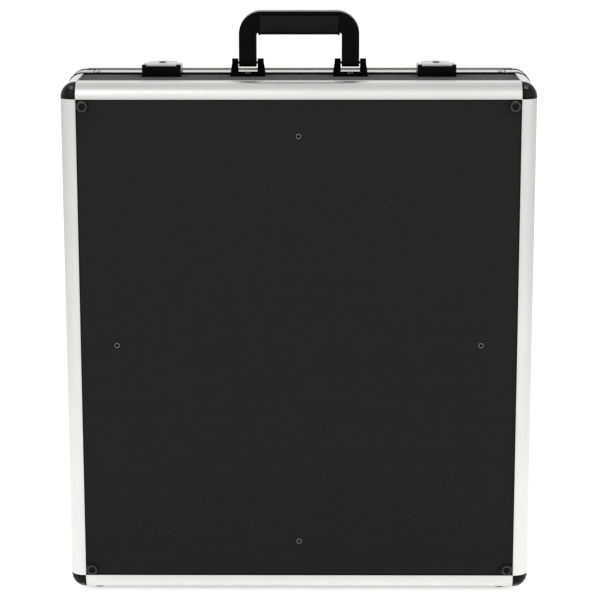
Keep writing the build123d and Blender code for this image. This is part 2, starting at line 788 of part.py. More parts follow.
face_holes = holes(face_foot_places + face_block_places, screw_hole, through_panel)
base_wall_holes = holes(standing_places(base) + wall_block_places, screw_hole, through_panel)
base_wall_holes += holes(bracket_screw_places, screw_hole, through_panel)
latch_fixing_holes = latch_places(latch_rivet_spacing / 2, seam - latch_rivet_from_seam, top)
base_wall_holes += holes(latch_fixing_holes, rivet_hole, through_panel)
lid_wall_holes = holes(standing_places(lid), screw_hole, through_panel)

for shell in (base, lid):
    write_frame(shell)
write_panels(base, face_holes, base_wall_holes)
write_panels(lid, [], lid_wall_holes)
write_feet()
write_padding()
write_handle()
write_hinges()
write_rivets(*write_latches())
print("case", case_width, "by", case_height, "by", base_depth + lid_depth, "mm")
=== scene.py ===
# %% [markdown]
# # Dressing a mixer carrying case
# The case stands upright on its hinge side. Its sizes, joints and collision come from the CAD model,
# which is loaded here as a fixed frame. Every step below makes one kind of piece or one finish, and
# hangs it on the body that carries it, so that it moves with the lid, the handle or a latch.

# %% Load the frame and keep its box
import json
import math

import bmesh
import bpy
from mathutils import Matrix, Vector

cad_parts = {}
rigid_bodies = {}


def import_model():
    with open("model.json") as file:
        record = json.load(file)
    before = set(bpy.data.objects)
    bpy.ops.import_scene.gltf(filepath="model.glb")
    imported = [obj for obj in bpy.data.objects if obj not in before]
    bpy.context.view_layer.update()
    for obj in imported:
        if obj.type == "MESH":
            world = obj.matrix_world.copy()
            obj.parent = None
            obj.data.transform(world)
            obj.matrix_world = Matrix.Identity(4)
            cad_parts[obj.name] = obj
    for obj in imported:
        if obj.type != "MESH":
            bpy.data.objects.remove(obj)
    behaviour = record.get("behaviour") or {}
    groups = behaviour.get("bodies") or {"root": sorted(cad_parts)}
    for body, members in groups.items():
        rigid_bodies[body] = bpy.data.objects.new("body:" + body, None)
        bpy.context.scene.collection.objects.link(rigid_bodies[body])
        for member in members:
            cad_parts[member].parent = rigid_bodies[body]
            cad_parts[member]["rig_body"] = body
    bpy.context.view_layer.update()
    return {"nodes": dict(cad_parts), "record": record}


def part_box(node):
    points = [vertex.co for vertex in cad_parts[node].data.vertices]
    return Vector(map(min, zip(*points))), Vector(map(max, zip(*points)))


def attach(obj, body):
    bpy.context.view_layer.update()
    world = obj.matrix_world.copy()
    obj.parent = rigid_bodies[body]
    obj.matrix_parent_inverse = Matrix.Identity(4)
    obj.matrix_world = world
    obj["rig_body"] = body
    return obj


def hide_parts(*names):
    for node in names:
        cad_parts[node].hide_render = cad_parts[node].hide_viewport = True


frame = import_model()

# %% [markdown]
# ## Sizes
# Lengths in this lesson are written in millimetres, as on a workshop drawing, and turned into metres
# where a mesh is made. What the frame already knows is read from it: a box round one of its nodes
# tells where a wall, a rim or a foot is, so the pieces fit without being measured twice.

# %% Read the main places from the frame
MM = 0.001
corner_low, corner_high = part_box("base_ball_corners")
half_width = corner_high.x
bottom, top = corner_low.z, corner_high.z
mid_height = (bottom + top) / 2
half_height = (top - bottom) / 2
case_middle = Vector((0, 0, mid_height))
face_y = corner_low.y
back_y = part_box("lid_ball_corners")[1].y
base_rim_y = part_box("base_rim_corners")[0].y
lid_rim_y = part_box("lid_rim_corners")[1].y
# Of each shell: its outer face, the outer end of its rim, and the direction from there to the seam
SHELLS = {"base": (face_y, base_rim_y, 1), "lid": (back_y, lid_rim_y, -1)}
# The radius of the case's edges, what an edge profile covers of face and wall, and how far a rim
# corner reaches along its two sides
corner_radius, face_band, wall_band, rim_corner_reach = 16.0, 17.5, 25.0, 28.0
print("half width", half_width, "height", top - bottom, "face at", face_y, "back at", back_y)

# %% [markdown]
# ## Camera
# The photograph was taken with a long lens, a little to the right of the middle and from above, so
# that the upper wall shows as a narrow band. The camera is given by its place and three small turns:
# yaw to the side, pitch down and roll. A matrix whose columns are right, up and backwards sets it.

# %% Set up the camera


def turned_to(x, y, z):
    """The matrix that turns the three axes to the given directions."""
    return Matrix((x, y, z)).transposed().to_4x4()


camera_place = Vector((0.0219, -2.4763, 0.8727))
yaw, pitch, roll = -0.0086, 0.2173, -0.0014
lens_mm = 133.1
forward = Vector((math.sin(yaw) * math.cos(pitch), math.cos(yaw) * math.cos(pitch), -math.sin(pitch)))
level_right = Vector((math.cos(yaw), -math.sin(yaw), 0))
level_up = level_right.cross(forward)
right = math.cos(roll) * level_right + math.sin(roll) * level_up
upright = math.cos(roll) * level_up - math.sin(roll) * level_right
turn = turned_to(right, upright, -forward)
camera_data = bpy.data.cameras.new("camera")
camera_data.lens = lens_mm
camera_data.sensor_width = 36.0
camera = bpy.data.objects.new("camera", camera_data)
camera.matrix_world = Matrix.Translation(camera_place) @ turn
bpy.context.scene.collection.objects.link(camera)
bpy.context.scene.camera = camera
bpy.context.scene.view_settings.view_transform = "Standard"
print("camera at", tuple(round(c, 3) for c in camera_place), "lens", lens_mm, "mm")

# %% [markdown]
# ## Writing materials with nodes
# Each finish is a Principled shader with a few nodes in front of it. A number that is the same all
# over the surface stays on the shader's own socket. What varies, such as grain or wear, comes from
# textures that read Object coordinates, so it stays put on the piece when the piece moves.

# %% Helpers that make a finish and its nodes


def shader_of(finish):
    """The Principled shader of a finish."""
    return finish.node_tree.nodes["Principled BSDF"]


def new_finish(name, colour, roughness, metallic=0.0, specular=0.5):
    """A material with its plain values set on the Principled shader."""
    finish = bpy.data.materials.new(name)
    finish.use_nodes = True
    inputs = shader_of(finish).inputs
    inputs["Base Color"].default_value = (*colour, 1.0)
    inputs["Roughness"].default_value = roughness
    inputs["Metallic"].default_value = metallic
    inputs["Specular IOR Level"].default_value = specular
    return finish


def add_node(finish, kind, settings=(), **inputs):
    """A node with its settings made and its inputs linked or filled in."""
    node = finish.node_tree.nodes.new(kind)
    for key, value in dict(settings).items():
        setattr(node, key, value)
    for key, value in inputs.items():
        socket = node.inputs[int(key[1:])] if key[0] == "_" else node.inputs[key.replace("_", " ")]
        if isinstance(value, bpy.types.NodeSocket):
            finish.node_tree.links.new(value, socket)
        else:
            socket.default_value = value
    return node


def compute(finish, operation, *values):
    """The result of an operation on sockets or numbers."""
    inputs = {f"_{place}": value for place, value in enumerate(values)}
    return add_node(finish, "ShaderNodeMath", {"operation": operation}, **inputs).outputs[0]


def object_place(finish, scale=(1, 1, 1)):
    """Object coordinates, stretched by a scale."""
    source = add_node(finish, "ShaderNodeTexCoord").outputs["Object"]
    return add_node(finish, "ShaderNodeMapping", Vector=source, Scale=scale).outputs["Vector"]


def noise(finish, place, size, detail=3.0, roughness=0.5):
    """A noise value whose grains are about the given size in millimetres."""
    node = add_node(
        finish, "ShaderNodeTexNoise", Vector=place, Scale=1 / (size * MM), Detail=detail,
        Roughness=roughness,
    )
    return node.outputs["Fac"]


def spread(finish, value, low, high, start=0.3, end=0.7):
    """A value brought from one range to another."""
    node = add_node(
        finish, "ShaderNodeMapRange", Value=value, From_Min=start, From_Max=end, To_Min=low, To_Max=high
    )
    return node.outputs["Result"]


def blend_colours(finish, value, dark, light, start=0.3, end=0.7):
    """A colour between two, chosen by a value."""
    ramp = add_node(finish, "ShaderNodeValToRGB", Fac=value)
    ramp.color_ramp.elements[0].position = start
    ramp.color_ramp.elements[1].position = end
    ramp.color_ramp.elements[0].color = (*dark, 1.0)
    ramp.color_ramp.elements[1].color = (*light, 1.0)
    return ramp.outputs["Color"]


def feed(finish, socket, value):
    """A value linked to a socket of the shader."""
    finish.node_tree.links.new(value, shader_of(finish).inputs[socket])


def add_bump(finish, height, depth, strength=1.0, under=None):
    """A bump whose full height is the given depth in millimetres."""
    node = add_node(finish, "ShaderNodeBump", Height=height, Distance=depth * MM, Strength=strength)
    if under is not None:
        finish.node_tree.links.new(under, node.inputs["Normal"])
    return node.outputs["Normal"]


def grey(level):
    """A neutral colour."""
    return (level, level, level)


# %% [markdown]
# ## The black laminate
# The panels are thin plywood faced with black plastic. It is embossed with a fine diamond pattern,
# about two millimetres from one dimple to the next, that runs at 45 degrees. The product of two sines
# makes such a pattern. They read the two directions that lie in the panel, so there is one laminate
# for the faces, one for the top and bottom walls and one for the sides. The embossed film has no
# clear mirror image, but it pales when seen along its surface, which a little sheen gives.

# %% Make the laminates
HALF_WAVE = 1.5


def make_laminate(name, first, second):
    """Black embossed laminate for a panel that spans two axes, given by their letters."""
    finish = new_finish(name, grey(0.02), 0.5, specular=0.0)
    shader_of(finish).inputs["Sheen Weight"].default_value = 0.2
    shader_of(finish).inputs["Sheen Roughness"].default_value = 0.45
    place = object_place(finish)
    axes = add_node(finish, "ShaderNodeSeparateXYZ", Vector=place).outputs
    scale = math.pi / (HALF_WAVE * MM)
    angles = [compute(finish, "MULTIPLY", axes[letter], scale) for letter in (first, second)]
    crossed = compute(finish, "MULTIPLY", *[compute(finish, "SINE", angle) for angle in angles])
    dimples = spread(finish, crossed, 0.0, 1.0, start=-1.0, end=1.0)
    # Painted shade: the dimples' hollows are coloured darker and their tops lighter.
    feed(finish, "Base Color", blend_colours(finish, dimples, grey(0.006), grey(0.046), end=0.95))
    rub = noise(finish, place, 90.0, detail=4.0)
    feed(finish, "Roughness", spread(finish, rub, 0.44, 0.58))
    grain = add_bump(finish, noise(finish, place, 0.5), 0.02, strength=0.4)
    feed(finish, "Normal", add_bump(finish, dimples, 0.09, strength=0.7, under=grain))
    return finish


face_laminate = make_laminate("laminate_face", "X", "Z")
end_laminate = make_laminate("laminate_end", "X", "Y")
side_laminate = make_laminate("laminate_side", "Y", "Z")
print("laminates:", face_laminate.name, end_laminate.name, side_laminate.name)

# %% [markdown]
# ## Metals
# The profiles are anodised aluminium. Drawing them through a die leaves faint lines along their
# length, which a noise stretched in that direction gives. The latches are chromed and nearly plain,
# with a little haze and fine scratches. Screws, rivets and hinges are plated steel.

# %% Make the metals


def make_drawn_aluminium(name, along):
    """Satin anodised aluminium whose fine lines run along one axis."""
    finish = new_finish(name, (0.76, 0.765, 0.755), 0.36, metallic=1.0)
    stretch = [0.004 if letter == along else 1.0 for letter in "XYZ"]
    lines = noise(finish, object_place(finish, scale=stretch), 0.35, detail=2.0)
    cloud = noise(finish, object_place(finish), 60.0, detail=3.0)
    feed(finish, "Base Color", blend_colours(finish, cloud, (0.745, 0.75, 0.74), (0.775, 0.78, 0.77)))
    feed(finish, "Roughness", spread(finish, lines, 0.30, 0.40))
    feed(finish, "Normal", add_bump(finish, lines, 0.004, strength=0.25))
    return finish


def make_metal(name, colour, low, high, grain, depth):
    """Plated metal: its roughness from low to high, the haze's size and the scratches' depth."""
    finish = new_finish(name, colour, low, metallic=1.0)
    place = object_place(finish)
    haze = noise(finish, place, grain, detail=5.0, roughness=0.6)
    feed(finish, "Roughness", spread(finish, haze, low, high))
    light = tuple(min(1.0, c * 1.04) for c in colour)
    dark = tuple(c * 0.93 for c in colour)
    feed(finish, "Base Color", blend_colours(finish, haze, dark, light))
    feed(finish, "Normal", add_bump(finish, noise(finish, place, grain / 8), depth, strength=0.3))
    return finish


aluminium = {letter: make_drawn_aluminium("aluminium_along_" + letter, letter) for letter in "XYZ"}
corner_metal = make_metal("corner_metal", (0.74, 0.74, 0.745), 0.14, 0.24, 6.0, 0.01)
chrome = make_metal("latch_chrome", (0.39, 0.395, 0.40), 0.07, 0.16, 9.0, 0.006)
lock_chrome = make_metal("lock_chrome", (0.10, 0.10, 0.105), 0.16, 0.28, 4.0, 0.006)
hinge_steel = make_metal("hinge_steel", (0.56, 0.56, 0.57), 0.22, 0.34, 5.0, 0.012)
rivet_steel = make_metal("rivet_steel", (0.36, 0.36, 0.37), 0.2, 0.32, 2.0, 0.01)
dark_steel = make_metal("dark_steel", (0.115, 0.115, 0.12), 0.22, 0.36, 2.0, 0.012)
black_steel = make_metal("blackened_steel", (0.022, 0.022, 0.023), 0.3, 0.45, 2.0, 0.012)
print("materials so far:", len(bpy.data.materials))

# %% [markdown]
# ## Plastics, rubber, foam and felt
# Moulded black parts differ by their gloss: the handle shines, latch housings and ball corners are
# duller, the grip duller still, and the brackets are matt. Rubber has a soft shine on its rims, except
# on the feet that the case stands on, which are worn dull. Foam has open cells, made with a Voronoi
# texture, and the wooden blocks are covered with a short brushed loop fabric.

# %% Make the plastics and the soft finishes


def make_plastic(name, level, low, high, grain, depth, specular):
    """Moulded black plastic: fine grain, and a roughness that wanders from low to high."""
    finish = new_finish(name, grey(level), low, specular=specular)
    place = object_place(finish)
    wander = noise(finish, place, 12.0, detail=4.0)
    feed(finish, "Roughness", spread(finish, wander, low, high))
    feed(finish, "Base Color", blend_colours(finish, wander, grey(level * 0.8), grey(level * 1.25)))
    feed(finish, "Normal", add_bump(finish, noise(finish, place, grain, detail=2.0), depth, strength=0.5))
    return finish


def make_foam(name, dark, light):
    """Open-celled foam."""
    finish = new_finish(name, grey(light), 0.95, specular=0.15)
    place = object_place(finish)
    cells = add_node(finish, "ShaderNodeTexVoronoi", Vector=place, Scale=1 / (1.1 * MM)).outputs["Distance"]
    shade = noise(finish, place, 25.0, detail=4.0)
    feed(finish, "Base Color", blend_colours(finish, shade, grey(dark), grey(light)))
    feed(finish, "Normal", add_bump(finish, cells, 0.35, strength=0.8))
    return finish


def make_felt(name, dark, light):
    """Short loop fabric: a tight bump and a soft sheen at the edges."""
    finish = new_finish(name, grey(light), 0.9, specular=0.1)
    shader_of(finish).inputs["Sheen Weight"].default_value = 0.25
    place = object_place(finish)
    loops = noise(finish, place, 0.9, detail=6.0, roughness=0.7)
    feed(finish, "Base Color", blend_colours(finish, loops, grey(dark), grey(light)))
    feed(finish, "Normal", add_bump(finish, loops, 0.3, strength=0.8))
    return finish


gloss_black = make_plastic("handle_plastic", 0.0018, 0.14, 0.24, 0.8, 0.01, 0.05)
housing_black = make_plastic("housing_plastic", 0.0025, 0.30, 0.42, 0.8, 0.01, 0.05)
grip_black = make_plastic("grip_plastic", 0.006, 0.42, 0.55, 0.7, 0.05, 0.1)
corner_black = make_plastic("corner_plastic", 0.004, 0.26, 0.38, 0.9, 0.03, 0.11)
bracket_black = make_plastic("bracket_plastic", 0.003, 0.5, 0.62, 0.8, 0.02, 0.0)
rubber = make_plastic("foot_rubber", 0.007, 0.36, 0.5, 0.5, 0.04, 0.5)
worn_rubber = make_plastic("worn_foot_rubber", 0.004, 0.6, 0.75, 0.5, 0.04, 0.03)
foam = make_foam("foam_cells", 0.016, 0.026)
felt = make_felt("block_felt", 0.010, 0.024)
print("materials so far:", len(bpy.data.materials))

# %% [markdown]
# ## A finish for every node of the frame
# Nodes that keep their CAD shape only need their finish. Nodes that get a finer piece later are
# finished as well, so that none is left in a plain colour.

# %% Give each node its finish
finish_of_slot = {
    "laminate": face_laminate,
    "aluminium": aluminium["X"],
    "corner_plastic": corner_black,
    "corner_metal": corner_metal,
    "handle_plastic": gloss_black,
    "grip": grip_black,
    "housing_plastic": housing_black,
    "latch_chrome": chrome,
    "lock_chrome": lock_chrome,
    "hinge_steel": hinge_steel,
    "rivet_steel": rivet_steel,
    "screw_steel": dark_steel,
    "rubber": rubber,
    "foam": foam,
    "block_wood": felt,
}
slot_of_node = {part["node"]: part["material_slot"] for part in frame["record"]["subparts"]}


def finish_of_node(name):
    """The finish a node takes, with its grain turned the way the node lies."""
    slot = slot_of_node[name]
    if name.startswith("handle_bracket"):
        return bracket_black
    upright_side = "left" in name or "right" in name or "side" in name
    if slot == "laminate" and "wall" in name:
        return side_laminate if upright_side else end_laminate
    if slot == "aluminium" and upright_side:
        return aluminium["Z"]
    if slot == "aluminium" and "posts" in name:
        return aluminium["Y"]
    return finish_of_slot[slot]


for name, node in frame["nodes"].items():
    node.data.materials.clear()
    node.data.materials.append(finish_of_node(name))
print("finished nodes:", len(frame["nodes"]))

# %% [markdown]
# ## Building pieces
# A bmesh is Blender's editable mesh. Each piece starts from a short outline or a basic shape, which
# operators then extrude, spin or bevel. When it is done, its doubles are merged, its normals are
# turned outwards, and it becomes an object that rides on its body and hides the node it stands for.

# %% Helpers that build and finish a piece


def weld(mesh, reach=0.002):
    """Joins the points of a mesh that lie within a reach in millimetres."""
    bmesh.ops.remove_doubles(mesh, verts=mesh.verts, dist=reach * MM)


def finish_piece(name, mesh, finish, body, replaces=(), sharp=32.0):
    """Turns a bmesh into an object in its place, on its body."""
    weld(mesh)
    bmesh.ops.recalc_face_normals(mesh, faces=mesh.faces)
    data = bpy.data.meshes.new(name)
    mesh.to_mesh(data)
    mesh.free()
    data.polygons.foreach_set("use_smooth", [True] * len(data.polygons))
    data.set_sharp_from_angle(angle=math.radians(sharp))
    data.materials.append(finish)
    piece = bpy.data.objects.new(name, data)
    bpy.context.scene.collection.objects.link(piece)
    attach(piece, body)
    if replaces:
        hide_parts(*replaces)
    print(f"{name}: {len(data.polygons)} faces")
    return piece


def body_of(node):
    """The body that carries a node."""
    return frame["nodes"][node]["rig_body"]


def mesh_of(node):
    """A bmesh of a node's CAD shape, with its seams joined."""
    mesh = bmesh.new()
    mesh.from_mesh(frame["nodes"][node].data)
    weld(mesh, 0.001)
    return mesh


def close_ends(mesh):
    """Fills what an extrusion left open."""
    bmesh.ops.holes_fill(mesh, edges=[e for e in mesh.edges if e.is_boundary], sides=0)


def shift(mesh, geometry, move):
    """Moves the points among freshly made geometry."""
    points = [g for g in geometry if isinstance(g, bmesh.types.BMVert)]
    bmesh.ops.translate(mesh, verts=points, vec=move)


def closed_line(mesh, points):
    """The edges that join points to a ring."""
    return [mesh.edges.new(pair) for pair in zip(points, points[1:] + points[:1])]


def extruded(outline, length):
    """A bar with its section in the XY plane, given in millimetres, that runs along +Z."""
    mesh = bmesh.new()
    face = mesh.faces.new([mesh.verts.new((x * MM, y * MM, 0)) for x, y in outline])
    grown = bmesh.ops.extrude_face_region(mesh, geom=[face])["geom"]
    shift(mesh, grown, (0, 0, length * MM))
    close_ends(mesh)
    return mesh


def bevel(mesh, edges, size, segments):
    """Rounds edges by a size in millimetres."""
    bmesh.ops.bevel(
        mesh, geom=edges, offset=size * MM, offset_type="OFFSET", segments=segments,
        profile=0.5, affect="EDGES", clamp_overlap=True, material=-1,
    )


def long_edges(mesh, x, y):
    """The edges of a bar that run along Z through a point of its section."""
    def here(vert):
        return abs(vert.co.x - x * MM) < 1e-6 and abs(vert.co.y - y * MM) < 1e-6
    return [e for e in mesh.edges if here(e.verts[0]) and here(e.verts[1])]


def sharp_edges(mesh, least=50.0):
    """The edges where two faces meet at more than the given turn."""
    return [e for e in mesh.edges if len(e.link_faces) == 2 and e.calc_face_angle() > math.radians(least)]


def turned(profile, steps=32):
    """A turned shape about +Z from (radius, height) points in millimetres."""
    mesh = bmesh.new()
    points = [mesh.verts.new((r * MM, 0, z * MM)) for r, z in profile]
    line = [mesh.edges.new(pair) for pair in zip(points, points[1:])]
    bmesh.ops.spin(
        mesh, geom=points + line, cent=(0, 0, 0), axis=(0, 0, 1), angle=2 * math.pi, steps=steps,
        use_merge=True, use_duplicate=False,
    )
    weld(mesh)
    return mesh


def add_copy(target, source, matrix):
    """Adds a copy of one bmesh, moved by a matrix, to another."""
    data = bpy.data.meshes.new("copy")
    source.to_mesh(data)
    data.transform(matrix)
    target.from_mesh(data)
    bpy.data.meshes.remove(data)


def add_part(target, part, matrix=Matrix()):
    """Puts a finished part in its place in another bmesh and lets go of it."""
    add_copy(target, part, matrix)
    part.free()


def pointing(place, direction):
    """The matrix that brings a shape made along +Z to a place and a direction."""
    quaternion = Vector(direction).to_track_quat("Z", "Y")
    return Matrix.Translation(place) @ quaternion.to_matrix().to_4x4()


def mirror_copies(mesh):
    """Adds the mirror image left and right, and then at the other end."""
    middle = Matrix.Translation(case_middle)
    add_copy(mesh, mesh, Matrix.Scale(-1, 4, (1, 0, 0)))
    add_copy(mesh, mesh, middle @ Matrix.Scale(-1, 4, (0, 0, 1)) @ middle.inverted())


# %% [markdown]
# ## Corner profiles
# Each edge of the case is an aluminium angle with a rounded back. At both lips it has a small bead
# that catches the light, and inside it a second angle that makes a slot for the panel. One outline
# serves all of them: the long outer edge is beveled to the case's corner radius, the inner one less.

# %% The section of a corner profile and its places
# The sheet's thickness, the depths at which the inner angle begins and ends, the bead, the chamfer
# beside it, and the depths of the slots for a wall's and a face's panel
SKIN, ANGLE_OUT, ANGLE_IN = 1.2, 5.5, 6.9
BEAD, BEAD_WIDTH, CHAMFER = 0.35, 1.0, 0.3
WALL_SLOT, FACE_SLOT = 6.1, 3.1


def corner_outline(reach, slot):
    """Points of (depth below the wall, depth behind the face) round a corner profile."""
    lip = reach - BEAD_WIDTH
    face_lip = face_band - BEAD_WIDTH
    groove = [(0, lip - 4.6), (0.25, lip - 4.3), (0, lip - 4.0)] if reach > face_band else []
    return [
        (face_band, SKIN), (face_band, -BEAD), (face_lip, -BEAD), (face_lip - CHAMFER, 0), (0, 0),
        *groove, (0, lip - CHAMFER), (-BEAD, lip), (-BEAD, reach), (SKIN, reach), (SKIN, reach - slot),
        (ANGLE_OUT, reach - slot), (ANGLE_OUT, reach), (ANGLE_IN, reach), (ANGLE_IN, ANGLE_IN),
        (face_band, ANGLE_IN), (face_band, ANGLE_OUT), (face_band - FACE_SLOT, ANGLE_OUT),
        (face_band - FACE_SLOT, SKIN),
    ]


def corner_bar(reach, slot, length):
    """A length of corner profile."""
    mesh = extruded(corner_outline(reach, slot), length)
    bevel(mesh, long_edges(mesh, 0, 0), corner_radius, 14)
    bevel(mesh, long_edges(mesh, ANGLE_IN, ANGLE_IN), corner_radius - ANGLE_IN, 8)
    return mesh


# Of each side: the way out of the case, the way along the side, and its distance from the middle
SIDES = {
    "top": (Vector((0, 0, 1)), Vector((1, 0, 0)), half_height),
    "bottom": (Vector((0, 0, -1)), Vector((1, 0, 0)), half_height),
    "right": (Vector((1, 0, 0)), Vector((0, 0, 1)), half_width),
    "left": (Vector((-1, 0, 0)), Vector((0, 0, 1)), half_width),
}


def along_side(side, start_y, inward, half_length):
    """The matrix that lays a bar along one side of a shell."""
    outward, along, reach = SIDES[side]
    start = case_middle + outward * reach - along * half_length * MM
    start.y = start_y
    return Matrix.Translation(start) @ turned_to(-outward, Vector((0, inward, 0)), along)


def bars_along(sides, make_bar, inset, start_y, inward):
    """Bars of one profile along some sides, each kept back from the corners by an inset."""
    mesh = bmesh.new()
    for side in sides:
        half = (half_width if side in ("top", "bottom") else half_height) / MM - inset
        add_part(mesh, make_bar(2 * half), along_side(side, start_y, inward, half))
    return mesh


def lay_sides(kind, make_bar, inset, shell, start_y):
    """Makes a shell's four lengths of one profile: four pieces on the base, two pairs on the lid."""
    groups = {f"base_{side}_{kind}": [side] for side in SIDES}
    if shell == "lid":
        groups = {f"lid_end_{kind}s": ["top", "bottom"], f"lid_side_{kind}s": ["left", "right"]}
    for node, sides in groups.items():
        mesh = bars_along(sides, make_bar, inset, start_y, SHELLS[shell][2])
        grain = "Z" if sides[0] in ("left", "right") else "X"
        finish_piece(node + "_profile", mesh, aluminium[grain], shell, [node])


# %% Lay the corner profiles of both shells
for shell, (face, rim, inward) in SHELLS.items():
    lay_sides("edge", lambda length: corner_bar(wall_band, WALL_SLOT, length), face_band, shell, face)

# %% Lay the posts that run through the depth at the four corners
POST_TURN = turned_to((-1, 0, 0), (0, 0, -1), (0, 1, 0))

for shell, (face, rim, inward) in SHELLS.items():
    start, end = sorted((face + inward * face_band * MM, rim))
    post = corner_bar(face_band, FACE_SLOT, (end - start) / MM)
    mesh = bmesh.new()
    add_part(mesh, post, Matrix.Translation((half_width, start, top)) @ POST_TURN)
    mirror_copies(mesh)
    node = shell + "_corner_posts"
    finish_piece(node + "_profile", mesh, aluminium["Y"], shell, [node])

# %% [markdown]
# ## Rims
# Where the two shells meet, each has a rim. The base's rim carries a tongue that the lid's rim takes
# in, which keeps dust out. The seam between them shows as a thin dark line round the case.

# %% Lay the rims of both shells
RIM_LIP = [(SKIN, 0), (-BEAD, 0), (-BEAD, BEAD_WIDTH), (0, BEAD_WIDTH + CHAMFER)]
# The width of each rim, and its form at the seam: a tongue on the base, the groove for it in the lid
SEAM_FORM = {
    "base": (17.0, [(2.2, 17.0), (2.2, 21.0), (3.8, 21.0), (3.8, 17.0), (ANGLE_IN, 17.0)]),
    "lid": (15.0, [(SKIN, 15.0), (SKIN, 7.5), (ANGLE_OUT, 7.5), (ANGLE_OUT, 15.0), (ANGLE_IN, 15.0)]),
}


def rim_section(shell, lip, start):
    """Round a rim: the points of its lip, its skin, its form at the seam and the slot of the panel."""
    width, seam_form = SEAM_FORM[shell]
    return [
        *lip, (lip[-1][0], width), *seam_form, (ANGLE_IN, start), (ANGLE_OUT, start),
        (ANGLE_OUT, WALL_SLOT), (SKIN, WALL_SLOT),
    ]


for shell, (face, rim, inward) in SHELLS.items():
    section = rim_section(shell, RIM_LIP, 0)
    lay_sides("rim", lambda length: extruded(section, length), rim_corner_reach, shell, rim)

# %% [markdown]
# ## Rim corners
# At the corners the rims are joined by bright castings that stand a little proud. Their section is
# swept by hand here: straight out of one arm, a quarter spin about the corner's centre, and straight
# into the other arm. Then the open ends are filled and the crisp edges softened.

# %% Cast the rim corners
# How far the castings stand proud, start behind the rim's lip and stop short of the straight rims,
# and how deep their edges are softened
PROUD, CAST_START, END_GAP, SOFT_DEPTH = 0.45, 0.3, 0.9, 8.5


def rim_corners(outline, start_y, inward, soft):
    """Four bars of one section that run round the corners of a shell's rim."""
    mesh = bmesh.new()
    start_x = half_width - (rim_corner_reach - END_GAP) * MM
    ring = [mesh.verts.new((start_x, start_y + inward * q * MM, top - p * MM)) for p, q in outline]
    arm = (rim_corner_reach - corner_radius - END_GAP) * MM
    grown = bmesh.ops.extrude_edge_only(mesh, edges=closed_line(mesh, ring))["geom"]
    shift(mesh, grown, (arm, 0, 0))
    swept = [g for g in grown if not isinstance(g, bmesh.types.BMFace)]
    centre = (half_width - corner_radius * MM, 0, top - corner_radius * MM)
    spun = bmesh.ops.spin(
        mesh, geom=swept, cent=centre, axis=(0, 1, 0), angle=math.pi / 2, steps=12, use_duplicate=False
    )["geom_last"]
    last = [g for g in spun if isinstance(g, bmesh.types.BMEdge)]
    grown = bmesh.ops.extrude_edge_only(mesh, edges=last)["geom"]
    shift(mesh, grown, (0, 0, -arm))
    weld(mesh)
    close_ends(mesh)
    bmesh.ops.recalc_face_normals(mesh, faces=mesh.faces)
    outer = [
        e for e in sharp_edges(mesh)
        if all(max(v.co.x - half_width, v.co.z - top) > -SOFT_DEPTH * MM for v in e.verts)
    ]
    bevel(mesh, outer, soft, 2)
    mirror_copies(mesh)
    return mesh


for shell, (face, rim, inward) in SHELLS.items():
    section = rim_section(shell, [(-PROUD, CAST_START)], CAST_START) + [(SKIN, CAST_START)]
    cast = rim_corners(section, rim, inward, soft=0.3)
    finish_piece(shell + "_rim_corners_cast", cast, corner_metal, shell, [shell + "_rim_corners"])

# %% [markdown]
# ## Black strips and beads of painted shade
# Each rim carries a thin black strip that stands a little higher than the metal. It is painted shade for
# the seam between the shells: seen from the front it draws a dark line along the rim and an arc round
# each corner. Round every panel runs a narrow black bead, painted shade for the gap between the
# laminate and the profile. Both are what makes the bright frame look crisp against the black.

# %% Add the black strips of painted shade along the rims
# Painted shade: a black strip along each rim draws the dark line of the seam.
SEAM_SHADE = [(-1.05, -0.5), (-1.15, -0.1), (-1.05, 0.28), (1.2, 0.28), (1.2, -0.5)]
SEAM_SHADE_OVERLAP = 0.5

for shell, (face, rim, inward) in SHELLS.items():
    corners = rim_corners(SEAM_SHADE, rim, inward, soft=0.12)
    finish_piece(shell + "_rim_corner_seam_shade", corners, corner_black, shell)
    inset = rim_corner_reach - SEAM_SHADE_OVERLAP
    lengths = bars_along(SIDES, lambda length: extruded(SEAM_SHADE, length), inset, rim, inward)
    finish_piece(shell + "_rim_seam_shade", lengths, corner_black, shell)

# %% Lay the black beads of painted shade round the panels
# Painted shade: a black bead round each panel draws the dark gap at its edge.
SHADE_BEAD = [(0, 0), (1.2, 0), (1.15, 0.4), (0.8, 0.7), (0, 0.8)]


def shade_bead_round(mesh, low, high, outward):
    """Four black beads of painted shade round a flat rectangle, given by two of its corners and its outward
    direction.
    """
    low, high = Vector(low), Vector(high)
    centre = (low + high) / 2
    half = [Vector([(high - low)[i] / 2 if i == axis else 0 for i in range(3)]) for axis in range(3)]
    across, up = [side for side in half if side.length > 1e-6]
    for inward, along in ((across, up), (-across, up), (up, across), (-up, across)):
        bead = extruded(SHADE_BEAD, 2 * along.length / MM)
        turn = turned_to(inward.normalized(), outward, along.normalized())
        add_part(mesh, bead, Matrix.Translation(centre - inward - along) @ turn)


def panel_shade_beads(shell, face_node, end_node, side_node):
    """The black beads of painted shade round a shell's face panel and round its four walls."""
    face, rim, inward = SHELLS[shell]
    inset = face_band * MM
    x, z_low, z_high = half_width - inset, bottom + inset, top - inset
    panel_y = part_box(face_node)[0 if inward > 0 else 1].y
    wall_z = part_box(end_node)[1].z
    wall_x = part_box(side_node)[1].x
    near, far = sorted((face + inward * wall_band * MM, rim))
    mesh = bmesh.new()
    shade_bead_round(mesh, (-x, panel_y, z_low), (x, panel_y, z_high), (0, -inward, 0))
    for sign in (-1, 1):
        z = mid_height + sign * (wall_z - mid_height)
        shade_bead_round(mesh, (-x, near, z), (x, far, z), (0, 0, sign))
        shade_bead_round(mesh, (sign * wall_x, near, z_low), (sign * wall_x, far, z_high), (sign, 0, 0))
    finish_piece(shell + "_panel_shade_beads", mesh, corner_black, shell)


